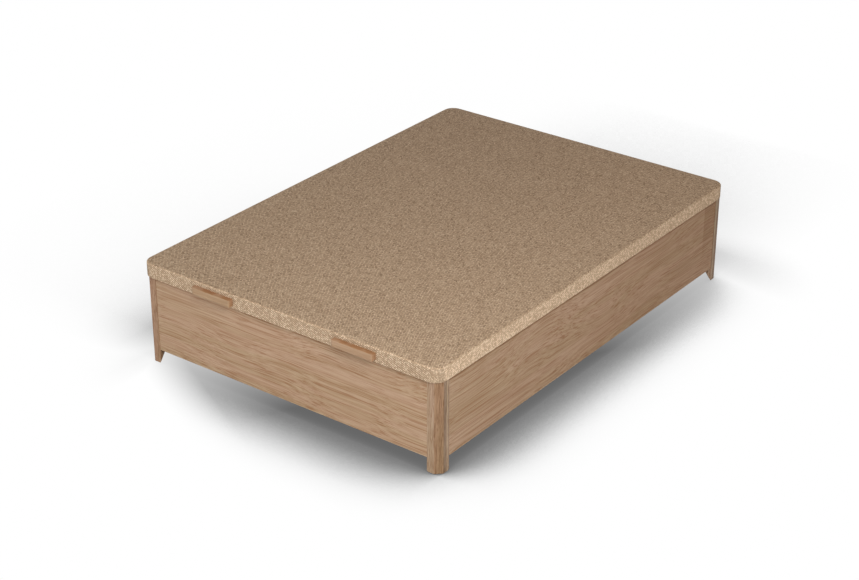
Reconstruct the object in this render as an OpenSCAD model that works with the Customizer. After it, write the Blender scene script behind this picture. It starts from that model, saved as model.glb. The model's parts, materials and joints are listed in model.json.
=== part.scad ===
// Ottoman storage bed: a panelled box on four corner posts, closed by a padded lid that
// lifts at the foot on two wooden pulls, turns on three butt hinges along the head panel
// and is carried by a gas strut at each side.
// The origin is on the floor under the middle of the bed. +X is to the right seen from the
// foot, +Y runs from the foot to the head, +Z is up.

/* [Lid] */
// Width of the lid
lid_w = 1350; // [1200:10:1600]
// Length of the lid
lid_l = 1900; // [1800:10:2100]
// Height of the lid from its underside to its top
lid_t = 58; // [50:1:80]
// Radius of the lid's four corners in plan
lid_corner_r = 48; // [47:1:80]
// Radius of the padded edge round the top
lid_edge_r = 6; // [5:0.5:8]
// Fall of the padded top from its middle to its edge
lid_crown = 1; // [0.5:0.1:2]
// Gap between the closed lid and the box
lid_gap = 1.1; // [0.5:0.1:2]
// Thickness of the cover fabric on the top and on the underside
fabric_t = 1.5; // [1:0.1:2]
// Thickness of the cover with its wadding on the sides
side_pad_t = 4; // [3:0.5:5]
// Width of the fabric turned under the frame
turn_under_w = 41; // [20:1:43]
// Thickness of the lid board
board_t = 12; // [8:1:16]
// Distance between the cross tubes under the board
lid_cross_pitch = 470; // [400:10:550]
// Clearance between the foam and the cover
foam_gap = 0.1; // [0.05:0.05:0.2]

/* [Lid frame] */
// Width of the steel tube
tube_w = 40; // [35:1:42]
// Height of the steel tube
tube_h = 30; // [20:1:30]
// Wall of the steel tube
tube_wall = 1.5; // [1:0.1:2.5]
// Radius of the steel tube's edges
tube_r = 2.5; // [2:0.5:4]
// Length of the corner casting's tongue inside a tube
tongue_l = 45; // [25:1:60]
// Clearance round the tongue
tongue_gap = 0.3; // [0.2:0.1:0.6]

/* [Box] */
// Height of the posts and panels above the floor
base_h = 355; // [340:1:400]
// Open height under the panels
leg_h = 56.5; // [40:0.5:70]
// Overhang of the lid beyond the posts at the sides
side_overhang = 2.9; // [1:0.1:8]
// Overhang of the lid beyond the posts at the foot and the head
end_overhang = 10.9; // [1:0.1:14]
// Thickness of the panels
panel_t = 30; // [22:1:32]
// Set-back of the panels from the posts' faces
panel_recess = 1; // [0.5:0.1:4]
// Small chamfer along the edges of the panels and posts
arris = 1; // [0.5:0.1:2]

/* [Corner posts] */
// Side of the square post
post_w = 54; // [48:1:64]
// Chamfer across the post's outer corner
post_chamfer = 22.4; // [15:0.1:26]
// Rounding of the chamfer's two edges
post_soft_r = 5; // [2:0.5:10]
// Reach of the leg along each face at the floor
leg_toe = 48; // [42:1:48]
// Widening of the leg for each millimetre of height
leg_rake = 0.7; // [0.6:0.05:1]
// Radius of the glide under each leg
glide_r = 7.5; // [5:0.5:8]
// Height of the glide
glide_h = 2; // [1:0.5:4]

/* [Panel joints] */
// Radius of the cam discs
cam_r = 7.5; // [6:0.5:9]
// Depth of the cam discs
cam_depth = 12.5; // [10:0.5:14]
// Depth of the lower cams below the top of the box
cam_low_drop = 195; // [150:5:230]
// Depth of the upper cams below the top of the box
cam_high_drop = 55; // [40:5:80]
// Width of the cross slot in the cam discs
slot_w = 2; // [1:0.5:3]
// Edge left round the cross slot
slot_edge = 2.5; // [2:0.5:4]
// Distance of the cams from the panel's end
cam_set = 34; // [24:1:40]
// Radius of the cam bolts
cam_bolt_r = 3.5; // [2.5:0.1:4]
// Depth of the cam bolts in the post
cam_bolt_in = 11; // [8:0.5:14]
// Radius of the dowels
dowel_r = 4; // [3:0.5:5]
// Length of the dowels
dowel_l = 30; // [24:1:36]
// Depth of the lower dowels below the top of the box
dowel_low_drop = 280; // [240:5:285]
// Depth of the upper dowels below the top of the box
dowel_high_drop = 125; // [90:5:150]
// Clearance round cams, bolts and dowels
joint_gap = 0.1; // [0.05:0.05:0.2]

/* [Floor of the box] */
// Side of the square cleats
cleat_w = 25; // [22:1:30]
// Height of the cleats above the panels' lower edge
cleat_rise = 5; // [0:1:12]
// Width of the steel cross bars
bar_w = 40; // [30:1:50]
// Height of the steel cross bars
bar_h = 20; // [15:1:20]
// Distance between the cross bars
bar_pitch = 470; // [400:10:500]
// Thickness of the floor boards
floor_t = 8; // [5:0.5:12]
// Gap round the floor boards
floor_gap = 1; // [0.5:0.5:3]
// Radius of the centre legs
centre_leg_r = 15; // [12:0.5:18]
// Radius of the centre legs' plastic feet
centre_foot_r = 20; // [19:0.5:26]
// Height of the plastic feet
centre_foot_h = 8; // [5:1:12]
// Thickness of the plate on top of each centre leg
leg_plate_t = 3; // [2:0.5:4]

/* [Pulls] */
// Length of the wooden pulls
pull_l = 184; // [160:2:240]
// Height of the wooden pulls
pull_h = 29.5; // [24:0.5:34]
// Projection of the wooden pulls
pull_d = 18.5; // [16:0.5:24]
// Distance of each pull's middle from the lid's side
pull_inset = 354; // [250:1:380]
// Height of the pulls above the lid's underside
pull_rise = 10.4; // [4:0.1:12]
// Width of the finger recess behind the lip
recess_w = 10; // [8:0.5:11]
// Height of the finger recess
recess_h = 13; // [10:0.5:16]
// Length of the finger recess
recess_l = 140; // [100:2:142]
// Radius of the pulls' screws
pull_screw_r = 2.5; // [2:0.25:3]

/* [Hinges] */
// Length of each hinge
hinge_l = 90; // [70:2:120]
// Distance of the outer hinges' middles from the lid's sides
hinge_inset = 195; // [160:5:300]
// Radius of the hinge knuckles
knuckle_r = 6.5; // [5.5:0.1:7]
// Radius of the hinge pins
pin_r = 4; // [3:0.1:4.5]
// Running clearance of the pins
pin_gap = 0.05; // [0.02:0.01:0.1]
// Thickness of the hinge leaves
leaf_t = 2.5; // [2:0.1:3]
// Width of the box leaves that lies on the head panel
leaf_seat = 20; // [16:0.5:24]
// Distance of the leaves' screws from the leaves' edge
leaf_screw_edge = 10; // [8:0.5:12]
// Gap between the closed leaves
leaf_gap = 0.5; // [0.4:0.1:1]
// Gap between the lid and the knuckles
hinge_gap = 2; // [1.5:0.1:4]
// End play between neighbouring knuckles
knuckle_play = 0.4; // [0.3:0.1:1]

/* [Gas struts] */
// Distance of the lid stud from the hinge axis
stud_lid_y = 250; // [240:1:260]
// Drop of the lid stud below the hinge axis
stud_lid_z = 35; // [32:1:38]
// Distance of the box stud from the hinge axis
stud_box_y = 100; // [95:1:105]
// Height of the box stud above the floor boards
stud_box_rise = 23.9; // [20:0.1:26]
// Radius of the studs
stud_r = 4; // [3.5:0.1:4.2]
// Radius of the cylinders
cylinder_r = 11; // [9:0.5:11]
// Wall of the cylinders
cylinder_wall = 1.5; // [1:0.1:2]
// Thickness of the cylinders' closed ends
cylinder_floor = 3; // [2:0.5:4]
// Length of the glands in the cylinders' open ends
gland_l = 12; // [10:1:14]
// Length of the pistons
piston_l = 12; // [10:1:14]
// Gap between a cylinder and the rod's neck when the lid is shut
shut_gap = 6; // [4:0.5:8]
// Gap between a piston and its gland when the lid is open
stop_gap = 1.2; // [0.5:0.1:2]
// Radius of the piston rods
rod_r = 5; // [4:0.5:5]
// Outer radius of the end eyes
eye_r = 11; // [10:0.5:12]
// Thickness of the end eyes
eye_t = 10; // [8:0.5:10]
// Length of the neck behind each end eye
neck_l = 11; // [9:0.5:13]
// Angle at which the struts stop the lid
lid_open = 45; // [40:1:45]
// Clearance between the rod's eye and its stud
free_gap = 0.42; // [0.4:0.01:0.5]
// Thickness of the bracket plates
plate_t = 3; // [2:0.5:3]
// Thickness of the clips on the studs
clip_t = 1.5; // [1:0.1:2]
// Clearance beside the eyes
eye_gap = 0.5; // [0.3:0.1:0.6]

/* [Hidden] */
$fn = 48;

oak = "#b08a68";
fabric = "#a68e74";
steel_dark = "#3b3d40";
zinc = "#b9bcc0";

// Outer faces of the posts
base_x = lid_w / 2 - side_overhang;
base_y = lid_l / 2 - end_overhang;
// Inner faces of the panels
inner_x = base_x - panel_recess - panel_t;
inner_y = base_y - panel_recess - panel_t;
panel_foot_l = 2 * (base_x - post_w);
panel_side_l = 2 * (base_y - post_w);
cam_heights = [base_h - cam_low_drop, base_h - cam_high_drop];
dowel_heights = [base_h - dowel_low_drop, base_h - dowel_high_drop];

cleat_z = leg_h + cleat_rise;
floor_z = cleat_z + cleat_w;
floor_top = floor_z + floor_t;
bar_places = [-bar_pitch, 0, bar_pitch];

lid_z = base_h + lid_gap;
lid_top = lid_z + lid_t;
tube_z = lid_z + fabric_t;
board_z = tube_z + tube_h;
foam_z = board_z + board_t;
tube_inner_r = tube_r / 2;
frame_x = lid_w / 2 - side_pad_t;
frame_y = lid_l / 2 - side_pad_t;
corner_x = lid_w / 2 - lid_corner_r;
corner_y = lid_l / 2 - lid_corner_r;
lid_cross_places = [-lid_cross_pitch, 0, lid_cross_pitch];
pull_x = lid_w / 2 - pull_inset;

// Hinge axis
rebate_depth = 2 * leaf_t + leaf_gap - lid_gap;
hinge_y = lid_l / 2 + hinge_gap + knuckle_r;
hinge_z = lid_z - leaf_t - leaf_gap / 2;
hinge_places = [hinge_inset - lid_w / 2, 0, lid_w / 2 - hinge_inset];
knuckle_l = hinge_l / 5;
leaf_edge_y = base_y - panel_recess - leaf_seat;
leaf_w = hinge_y - leaf_edge_y;

// Gas strut from the box stud to the lid stud, seen from the side
stud_lid = [hinge_y - stud_lid_y, hinge_z - stud_lid_z];
stud_box = [hinge_y - stud_box_y, floor_top + stud_box_rise];
strut_span = strut_length(0);
strut_travel = strut_length(lid_open) - strut_span;
strut_angle = atan2(stud_lid[1] - stud_box[1], stud_lid[0] - stud_box[0]);
// The rod moves out in proportion to the lid's angle, so its eye stands this far past its stud
// when the lid is shut or open, and as far short of it half-way
eye_lead = (strut_length(lid_open / 2) - strut_span - strut_travel / 2) / 2;
free_bore_r = stud_r + abs(eye_lead) + free_gap;
strut_l = strut_span + abs(eye_lead);
cylinder_start = eye_r + neck_l;
cylinder_l = strut_span - 2 * cylinder_start - shut_gap;
cylinder_bore_r = cylinder_r - cylinder_wall;
// The open piston stops just short of the gland
piston_start = cylinder_start + cylinder_l - gland_l - piston_l - strut_travel - stop_gap;
// Places across the bed, measured from its middle
plate_lid_x = frame_x - tube_w - plate_t;
eye_x = plate_lid_x - eye_gap - eye_t / 2;
clip_x = eye_x - eye_t / 2 - eye_gap - clip_t;

// Distance between the studs when the lid is open by an angle
function strut_length(angle) = norm([
    stud_box_y - stud_lid_y * cos(angle) - stud_lid_z * sin(angle),
    hinge_z - stud_box[1] + stud_lid_y * sin(angle) - stud_lid_z * cos(angle)
]);

function arc(cx, cy, r, a0, a1, n) =
    [for (i = [0 : n]) let (a = a0 + (a1 - a0) * i / n) [cx + r * cos(a), cy + r * sin(a)]];

// A rectangle from the origin with its four corners rounded by radius r
module rounded_rect(w, h, r) {
    translate([r, 0]) square([w - 2 * r, h]);
    translate([0, r]) square([w, h - 2 * r]);
    for (x = [r, w - r], y = [r, h - r]) translate([x, y]) circle(r = r);
}

module left_right() {
    children();
    mirror([1, 0, 0]) children();
}

module four_corners() {
    for (mx = [0, 1], my = [0, 1]) mirror([mx, 0, 0]) mirror([0, my, 0]) children();
}

// Places a panel drawn along X, with its outer face at y = 0 and its inner side at +Y
module at_foot() translate([0, panel_recess - base_y, 0]) children();
module at_head() mirror([0, 1, 0]) at_foot() children();
module at_right() translate([base_x - panel_recess, 0, 0]) rotate([0, 0, 90]) children();
module at_left() mirror([1, 0, 0]) at_right() children();

// Corner posts with their legs

function post_outline() = concat(
    arc(post_chamfer + post_soft_r * tan(22.5), post_soft_r, post_soft_r, 225, 270, 4),
    [[post_w - arris, 0], [post_w, arris], [post_w, post_w]],
    [[arris, post_w], [0, post_w - arris]],
    arc(post_soft_r, post_chamfer + post_soft_r * tan(22.5), post_soft_r, 180, 225, 4)
);

// Removes the wood inside the slanting plane that narrows the leg to its toe
module leg_bevel() {
    reach = post_w * sqrt(2) + 2;
    bottom = -1;
    rotate([0, 0, 45]) rotate([90, 0, 0])
        linear_extrude(height = 2 * post_w, center = true)
            polygon([
                [(leg_toe + leg_rake * bottom) / sqrt(2), bottom],
                [reach, bottom],
                [reach, (reach * sqrt(2) - leg_toe) / leg_rake]
            ]);
}

module post_solid() {
    difference() {
        translate([0, 0, glide_h])
            linear_extrude(height = base_h - glide_h) polygon(post_outline());
        leg_bevel();
    }
}

// sx and sy give the side of the bed that the post stands at
module post(sx, sy) {
    color(oak) difference() {
        scale([sx, sy, 1]) translate([base_x, base_y, 0]) rotate([0, 0, 180]) post_solid();
        joint_bores(joint_gap);
    }
}

module leg_glides() {
    inset = (post_chamfer + leg_toe) / 4;
    color("#5a5148") four_corners()
        translate([base_x - inset, base_y - inset, 0]) cylinder(r = glide_r, h = glide_h);
}

// Panels and the fittings that join them to the posts

module panel_bar(length) {
    rotate([90, 0, 90]) linear_extrude(height = length, center = true)
        polygon([
            [arris, leg_h], [panel_t, leg_h], [panel_t, base_h],
            [arris, base_h], [0, base_h - arris], [0, leg_h + arris]
        ]);
}

// Draws its children at both ends of all four panels, with +X into the post
module panel_ends() {
    for (s = [0, 1]) {
        at_foot() mirror([s, 0, 0]) translate([panel_foot_l / 2, 0, 0]) children();
        at_head() mirror([s, 0, 0]) translate([panel_foot_l / 2, 0, 0]) children();
        at_right() mirror([s, 0, 0]) translate([panel_side_l / 2, 0, 0]) children();
        at_left() mirror([s, 0, 0]) translate([panel_side_l / 2, 0, 0]) children();
    }
}

module cam_disc_set(gap) {
    for (z = cam_heights)
        translate([-cam_set, panel_t - cam_depth - gap, z]) rotate([-90, 0, 0])
            cylinder(r = cam_r + gap, h = cam_depth + gap);
}

// The bolts run from start, counted from the middle of the cam, into the post
module cam_bolt_set(start, gap) {
    for (z = cam_heights)
        translate([start - cam_set, panel_t - cam_depth / 2, z]) rotate([0, 90, 0])
            cylinder(r = cam_bolt_r + gap, h = cam_set - start + cam_bolt_in + gap);
}

module dowel_set(gap) {
    for (z = dowel_heights)
        translate([-dowel_l / 2 - gap, panel_t / 2, z]) rotate([0, 90, 0])
            cylinder(r = dowel_r + gap, h = dowel_l + 2 * gap);
}

module joint_bores(gap) {
    panel_ends() {
        cam_disc_set(gap);
        cam_bolt_set(0, gap);
        dowel_set(gap);
    }
}

module panel_foot() {
    color(oak) difference() {
        at_foot() panel_bar(panel_foot_l);
        joint_bores(joint_gap);
    }
}

module panel_head() {
    color(oak) difference() {
        at_head() panel_bar(panel_foot_l);
        joint_bores(joint_gap);
        hinge_rebates();
    }
}

module hinge_rebates() {
    for (x = hinge_places)
        translate([x - hinge_l / 2 - 1, leaf_edge_y - 1, base_h - rebate_depth])
            cube([hinge_l + 2, leaf_w, rebate_depth + 1]);
}

module panel_right() {
    color(oak) difference() {
        at_right() panel_bar(panel_side_l);
        joint_bores(joint_gap);
    }
}

module panel_left() {
    color(oak) difference() {
        at_left() panel_bar(panel_side_l);
        joint_bores(joint_gap);
    }
}

module cam_discs() {
    color(zinc) panel_ends() difference() {
        cam_disc_set(0);
        // Cross slot for the screwdriver and the mouth for the bolt
        for (z = cam_heights) translate([-cam_set, panel_t, z]) {
            cube([2 * (cam_r - slot_edge), 2 * slot_w, slot_w], center = true);
            cube([slot_w, 2 * slot_w, 2 * (cam_r - slot_edge)], center = true);
        }
    }
}

module cam_bolts() {
    color(zinc) panel_ends() cam_bolt_set(cam_r + joint_gap, 0);
}

module dowels() {
    color("#cdb38b") panel_ends() dowel_set(0);
}

// Floor of the box

cleat_foot_l = 2 * (base_x - post_w - floor_gap);
cleat_side_l = 2 * (inner_y - cleat_w - floor_gap);

module cleat_bar(length) {
    translate([-length / 2, panel_t, cleat_z]) cube([length, cleat_w, cleat_w]);
}

module cleat_foot() color("#c4a77d") at_foot() cleat_bar(cleat_foot_l);
module cleat_head() color("#c4a77d") at_head() cleat_bar(cleat_foot_l);

// The side cleats are notched for the cross bars
module cleat_side() {
    difference() {
        at_right() cleat_bar(cleat_side_l);
        for (y = bar_places)
            translate([0, y - bar_w / 2 - floor_gap / 2, floor_z - bar_h])
                cube([base_x, bar_w + floor_gap, bar_h + 1]);
    }
}

module cleat_right() color("#c4a77d") cleat_side();
module cleat_left() color("#c4a77d") mirror([1, 0, 0]) cleat_side();

// Half of the floor, notched round the posts, between the middle bar and the head
module floor_half() {
    half_w = inner_x - floor_gap;
    half_l = inner_y - floor_gap;
    notch_x = base_x - post_w - floor_gap;
    notch_y = base_y - post_w - floor_gap;
    translate([0, 0, floor_z]) linear_extrude(height = floor_t)
        polygon([
            [-half_w, floor_gap / 2], [half_w, floor_gap / 2], [half_w, notch_y],
            [notch_x, notch_y], [notch_x, half_l], [-notch_x, half_l],
            [-notch_x, notch_y], [-half_w, notch_y]
        ]);
}

module floor_board_head() color("#d8cfc0") floor_half();
module floor_board_foot() color("#d8cfc0") mirror([0, 1, 0]) floor_half();

// A tube along X, w wide and h high, with its middle at x = 0 and its underside at z = 0
module steel_tube(length, w, h) {
    rotate([90, 0, 90]) translate([-w / 2, 0, 0]) linear_extrude(height = length, center = true)
        difference() {
            rounded_rect(w, h, tube_r);
            translate([tube_wall, tube_wall])
                rounded_rect(w - 2 * tube_wall, h - 2 * tube_wall, tube_inner_r);
        }
}

module cross_bar(place) {
    color(steel_dark) translate([0, bar_places[place], floor_z - bar_h])
        steel_tube(2 * (inner_x - floor_gap / 2), bar_w, bar_h);
}

module centre_leg(place) {
    top = floor_z - bar_h;
    color(steel_dark) translate([0, bar_places[place], 0]) {
        translate([-bar_w, -bar_w / 2, top - leg_plate_t]) cube([2 * bar_w, bar_w, leg_plate_t]);
        translate([0, 0, centre_foot_h]) difference() {
            cylinder(r = centre_leg_r, h = top - leg_plate_t - centre_foot_h);
            translate([0, 0, -1])
                cylinder(r = centre_leg_r - tube_wall, h = top - leg_plate_t - centre_foot_h);
        }
    }
}

module centre_feet() {
    spigot_h = 12;
    color("#2b2b2b") for (y = bar_places) translate([0, y, 0]) {
        cylinder(r1 = centre_foot_r - 1, r2 = centre_foot_r, h = 1);
        translate([0, 0, 1]) cylinder(r = centre_foot_r, h = centre_foot_h - 1);
        cylinder(r = centre_leg_r - tube_wall - 0.1, h = centre_foot_h + spigot_h);
    }
}

// Lid frame

module lid_tube_foot() {
    color(steel_dark) difference() {
        translate([0, tube_w / 2 - frame_y, tube_z]) steel_tube(2 * corner_x, tube_w, tube_h);
        at_pull_screws() translate([0, 0, -1]) cylinder(r = pull_screw_r + 0.2, h = tube_w + 2);
    }
}

module lid_tube_head() {
    color(steel_dark) translate([0, frame_y - tube_w / 2, tube_z])
        steel_tube(2 * corner_x, tube_w, tube_h);
}

module lid_tube_side() {
    translate([frame_x - tube_w / 2, 0, tube_z]) rotate([0, 0, 90])
        steel_tube(2 * corner_y, tube_w, tube_h);
}

module lid_tube_right() color(steel_dark) lid_tube_side();
module lid_tube_left() color(steel_dark) mirror([1, 0, 0]) lid_tube_side();

module lid_cross_tube(place) {
    color(steel_dark) translate([0, lid_cross_places[place], tube_z])
        steel_tube(2 * (frame_x - tube_w), tube_w, tube_h);
}

module tongue_section(inset) {
    rounded_rect(tube_w - 2 * inset, tube_h - 2 * inset, tube_inner_r);
}

// Moulded corner blocks whose tongues fill the ends of two tubes
module lid_corners() {
    bend_r = lid_corner_r - side_pad_t;
    tongue_in = tube_wall + tongue_gap;
    color("#2b2b2b") four_corners() translate([corner_x, corner_y, tube_z]) {
        rotate_extrude(angle = 90) translate([bend_r - tube_w, 0]) square([tube_w, tube_h]);
        translate([bend_r - tube_w + tongue_in, 0, tongue_in]) rotate([90, 0, 0])
            linear_extrude(height = tongue_l) tongue_section(tongue_in);
        translate([-tongue_l, bend_r - tube_w + tongue_in, tongue_in]) rotate([90, 0, 90])
            linear_extrude(height = tongue_l) tongue_section(tongue_in);
    }
}

module lid_board() {
    color("#c9a977") translate([-frame_x, -frame_y, board_z]) linear_extrude(height = board_t)
        rounded_rect(2 * frame_x, 2 * frame_y, lid_corner_r - side_pad_t);
}

// Carries a profile round the lid's edge. Its x is counted outwards from the line through
// the centres of the corner arcs, and its y is the height.
module lid_rim() {
    four_corners() translate([corner_x, corner_y, 0]) rotate_extrude(angle = 90) children();
    for (a = [0, 180]) rotate([0, 0, a]) {
        translate([corner_x, corner_y, 0]) rotate([90, 0, 0])
            linear_extrude(height = 2 * corner_y) children();
        translate([-corner_x, corner_y, 0]) rotate([90, 0, 90])
            linear_extrude(height = 2 * corner_x) children();
    }
}

// Line of the padded top from the flat middle outwards, in = 0 on the outside
function crown_line(in) = [for (i = [0 : 4])
    let (x = (lid_corner_r - lid_edge_r) * i / 4)
    [x, lid_top - in - lid_crown * pow(i / 4, 2)]];

function edge_line(in, a_end) = arc(
    lid_corner_r - lid_edge_r, lid_top - lid_crown - lid_edge_r, lid_edge_r - in, 90, a_end, 5);

function pad_stop(in, side) = acos((lid_edge_r - side) / (lid_edge_r - in));

function reversed(list) = [for (i = [len(list) - 1 : -1 : 0]) list[i]];

module cover_profile() {
    hem_r = 3;
    turn_in = lid_corner_r - turn_under_w;
    inner = lid_corner_r - side_pad_t;
    polygon(concat(
        crown_line(0),
        edge_line(0, 0),
        arc(lid_corner_r - hem_r, lid_z + hem_r, hem_r, 0, -90, 3),
        [[turn_in, lid_z], [turn_in, lid_z + fabric_t], [inner, lid_z + fabric_t]],
        reversed(edge_line(fabric_t, pad_stop(fabric_t, side_pad_t))),
        reversed(crown_line(fabric_t))
    ));
}

module lid_cover() {
    color(fabric) {
        lid_rim() cover_profile();
        translate([-corner_x, -corner_y, lid_top - fabric_t])
            cube([2 * corner_x, 2 * corner_y, fabric_t]);
    }
}

module foam_profile() {
    in = fabric_t + foam_gap;
    side = side_pad_t + foam_gap;
    polygon(concat(
        [[0, foam_z], [lid_corner_r - side, foam_z]],
        reversed(edge_line(in, pad_stop(in, side))),
        reversed(crown_line(in))
    ));
}

module lid_foam() {
    top = lid_top - fabric_t - foam_gap;
    color("#efe6c8") {
        lid_rim() foam_profile();
        translate([-corner_x, -corner_y, foam_z]) cube([2 * corner_x, 2 * corner_y, top - foam_z]);
    }
}

// Wooden pulls, each drawn with its back on y = 0 and its front at -Y

module pull_solid() {
    end_r = 10;
    lip_r = 4;
    difference() {
        intersection() {
            // Plan, with the two front corners rounded
            linear_extrude(height = pull_h) difference() {
                translate([-pull_l / 2, -pull_d]) rounded_rect(pull_l, pull_d + end_r + 1, end_r);
                translate([-pull_l, 0]) square([2 * pull_l, pull_d + end_r]);
            }
            // Front view
            rotate([90, 0, 0]) linear_extrude(height = pull_d)
                translate([-pull_l / 2, 0]) rounded_rect(pull_l, pull_h, lip_r + 2);
            // Section, with the two front edges rounded
            rotate([90, 0, 90]) linear_extrude(height = pull_l, center = true) difference() {
                translate([-pull_d, 0]) rounded_rect(pull_d + lip_r + 1, pull_h, lip_r);
                translate([0, -1]) square([pull_d, pull_h + 2]);
            }
        }
        // Finger recess, cut up from below behind the lip
        translate([-recess_l / 2, -recess_w, -1])
            cube([recess_l, recess_w + 1, recess_h - recess_w / 2 + 1]);
        translate([-recess_l / 2, -recess_w / 2, recess_h - recess_w / 2]) rotate([0, 90, 0])
            cylinder(r = recess_w / 2, h = recess_l);
    }
}

module pull(side) {
    color("#b5875c") translate([side * pull_x, -lid_l / 2, lid_z + pull_rise]) pull_solid();
}

// The screws stand half-way up the pulls, but their heads keep to the flat of the foot tube
pull_screw_z = min(lid_z + pull_rise + pull_h / 2, tube_z + tube_h - tube_r - 2 * pull_screw_r);

// Draws its children at the pulls' screws, with +Z from the inside of the foot tube outwards
module at_pull_screws() {
    from_end = (pull_l - recess_l) / 4;
    for (side = [-1, 1], end = [-1, 1])
        translate([
            side * pull_x + end * (pull_l / 2 - from_end),
            tube_w - frame_y,
            pull_screw_z
        ]) rotate([90, 0, 0]) children();
}

// Screws that come through the foot tube and the cover into the solid ends of the pulls
module pull_screws() {
    head_h = 3;
    bite = 11;
    color(zinc) at_pull_screws() {
        translate([0, 0, -head_h]) cylinder(r = 2 * pull_screw_r, h = head_h);
        cylinder(r = pull_screw_r, h = tube_w + side_pad_t + bite);
    }
}

// Butt hinges

// Knuckles number 0 to 4 along X; the box leaf has the even ones
module knuckles(first) {
    for (k = [first : 2 : 4])
        translate([k * knuckle_l - hinge_l / 2 + knuckle_play / 2, 0, 0]) rotate([0, 90, 0])
            cylinder(r = knuckle_r, h = knuckle_l - knuckle_play);
}

// Room for the knuckles of the other leaf
module knuckle_slots(first) {
    for (k = [first : 2 : 4])
        translate([k * knuckle_l - hinge_l / 2 - knuckle_play / 2, -knuckle_r - 1, -knuckle_r - 1])
            cube([knuckle_l + knuckle_play, 2 * knuckle_r + 3, 2 * knuckle_r + 2]);
}

leaf_screw_in = 12;
screw_places = [-hinge_l / 2 + leaf_screw_in, 0, hinge_l / 2 - leaf_screw_in];
leaf_screw_y = leaf_screw_edge - leaf_w;
csk_r = 4;
csk_shank_r = 2;
csk_gap = 0.2;

// One leaf round the pin at the origin, flat side at z = -leaf_gap / 2
module hinge_leaf(first) {
    difference() {
        union() {
            translate([-hinge_l / 2, -leaf_w, -leaf_gap / 2 - leaf_t]) cube([hinge_l, leaf_w, leaf_t]);
            knuckles(first);
        }
        knuckle_slots(1 - first);
        translate([-hinge_l / 2 - 1, 0, 0]) rotate([0, 90, 0])
            cylinder(r = pin_r + pin_gap, h = hinge_l + 2);
        for (x = screw_places) translate([x, leaf_screw_y, -leaf_gap / 2 - leaf_t]) {
            translate([0, 0, -1]) cylinder(r = csk_shank_r + csk_gap, h = leaf_t + 2);
            cylinder(r1 = csk_shank_r + csk_gap, r2 = csk_r + csk_gap, h = leaf_t + 0.01);
        }
    }
}

module hinge_leaf_box(place) {
    color(zinc) translate([hinge_places[place], hinge_y, hinge_z]) hinge_leaf(0);
}

module hinge_leaf_lid(place) {
    color(zinc) translate([hinge_places[place], hinge_y, hinge_z]) mirror([0, 0, 1]) hinge_leaf(1);
}

module hinge_pins() {
    head_h = 1.5;
    color(zinc) for (x = hinge_places) translate([x, hinge_y, hinge_z]) rotate([0, 90, 0]) {
        cylinder(r = pin_r, h = hinge_l, center = true);
        for (s = [-1, 1]) translate([0, 0, s * (hinge_l / 2 + head_h / 2)])
            cylinder(r = knuckle_r - 1, h = head_h, center = true);
    }
}

// A countersunk screw pointing down from the face of a leaf
module leaf_screw(bite) {
    cylinder(r1 = csk_shank_r, r2 = csk_r, h = leaf_t - 0.1);
    translate([0, 0, -bite]) cylinder(r = csk_shank_r, h = bite + 0.5);
}

module leaf_screws(bite) {
    for (x = hinge_places, dx = screw_places)
        translate([x + dx, hinge_y + leaf_screw_y, hinge_z])
            translate([0, 0, -leaf_gap / 2 - leaf_t]) leaf_screw(bite);
}

module hinge_screws_box() color(zinc) leaf_screws(22);

module hinge_screws_lid() {
    color(zinc) translate([0, 0, 2 * hinge_z]) mirror([0, 0, 1]) leaf_screws(9);
}

// Gas struts, each in the plane of its eyes at the side of the bed given by side, -1 or 1

// Places a piece drawn along +X on the line of the strut, from the box stud
module on_strut(side) {
    translate([side * eye_x, stud_box[0], stud_box[1]])
        rotate([strut_angle, 0, 0]) rotate([0, 0, 90]) children();
}

// A flat eye at the origin, its bore across the strut
module strut_eye(bore_r) {
    difference() {
        union() {
            rotate([90, 0, 0]) cylinder(r = eye_r, h = eye_t, center = true);
            rotate([0, 90, 0]) cylinder(r = eye_t / 2, h = eye_r + neck_l);
        }
        rotate([90, 0, 0]) cylinder(r = bore_r, h = eye_t + 2, center = true);
    }
}

// Half section of the cylinder, its closed end at y = 0 and its ends rolled over
module cylinder_section() {
    roll_r = 4;
    difference() {
        polygon(concat(
            [[0, 0]],
            arc(cylinder_r - roll_r, roll_r, roll_r, -90, 0, 4),
            arc(cylinder_r - roll_r, cylinder_l - roll_r, roll_r, 0, 90, 4),
            [[0, cylinder_l]]
        ));
        translate([0, cylinder_floor])
            square([cylinder_bore_r, cylinder_l - cylinder_floor - gland_l]);
        translate([0, cylinder_floor]) square([rod_r + pin_gap, cylinder_l]);
    }
}

module strut_cylinder(side) {
    color("#26282b") on_strut(side) {
        strut_eye(stud_r + pin_gap);
        translate([cylinder_start, 0, 0]) rotate([0, 90, 0]) rotate_extrude() cylinder_section();
    }
}

module strut_rod(side) {
    color(zinc) on_strut(side) {
        translate([piston_start, 0, 0]) rotate([0, 90, 0]) {
            cylinder(r = cylinder_bore_r - joint_gap, h = piston_l);
            cylinder(r = rod_r, h = strut_l - eye_r - 2 - piston_start);
        }
        translate([strut_l, 0, 0]) rotate([0, 0, 180]) strut_eye(free_bore_r);
    }
}

// A round piece along X from x0 to x1 at a place given by its Y and Z
module stud(x0, x1, place, r) {
    translate([x0, place[0], place[1]]) rotate([0, 90, 0]) cylinder(r = r, h = x1 - x0);
}

stud_end_x = clip_x - 1.2;
plate_screw_r = 2.2;
box_plate_w = 52;
box_plate_h = 44;
box_plate_r = 8;
box_screw_in = 9;
// Lower corner of the box plate at its foot end
box_plate_y = stud_box[0] - box_plate_w / 2;
box_plate_z = stud_box[1] - box_plate_h / 2 + 2;

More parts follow.
